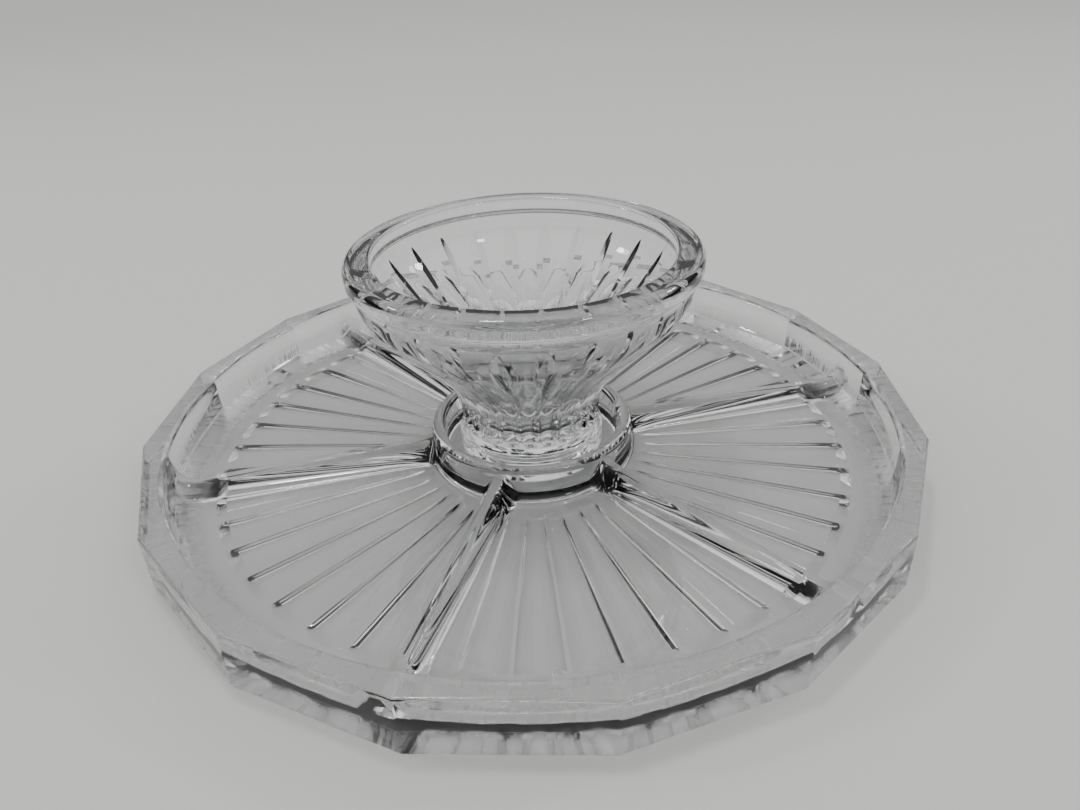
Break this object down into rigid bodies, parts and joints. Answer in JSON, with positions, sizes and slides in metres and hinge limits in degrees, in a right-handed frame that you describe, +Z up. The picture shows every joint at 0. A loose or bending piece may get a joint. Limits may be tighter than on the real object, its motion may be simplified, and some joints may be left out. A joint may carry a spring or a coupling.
{
  "type": "chip and dip server",
  "caption": "Sixteen-sided divided clear glass serving tray with a central collar that holds a removable trumpet-shaped dip bowl.",
  "frame": {"origin": "on the table, under the middle of the tray", "axes": "+Z up along the axis of the tray, the collar and the bowl; +X and +Y lie in the table plane, with one corner of the tray 7.4 degrees round from +X"},
  "size_m": [0.3024, 0.3024, 0.09],
  "materials": {
    "tray_glass": "polished clear pressed glass",
    "bowl_glass": "polished clear pressed glass"
  },
  "bodies": {
    "tray": {"serving_tray": "tray_glass"},
    "bowl": {"dip_bowl": "bowl_glass"}
  },
  "joints": [
    {"name": "bowl_lift", "type": "slide", "parent": "tray", "child": "bowl", "axis": [0, 0, 1], "range_m": [0, 0.06]}
  ]
}
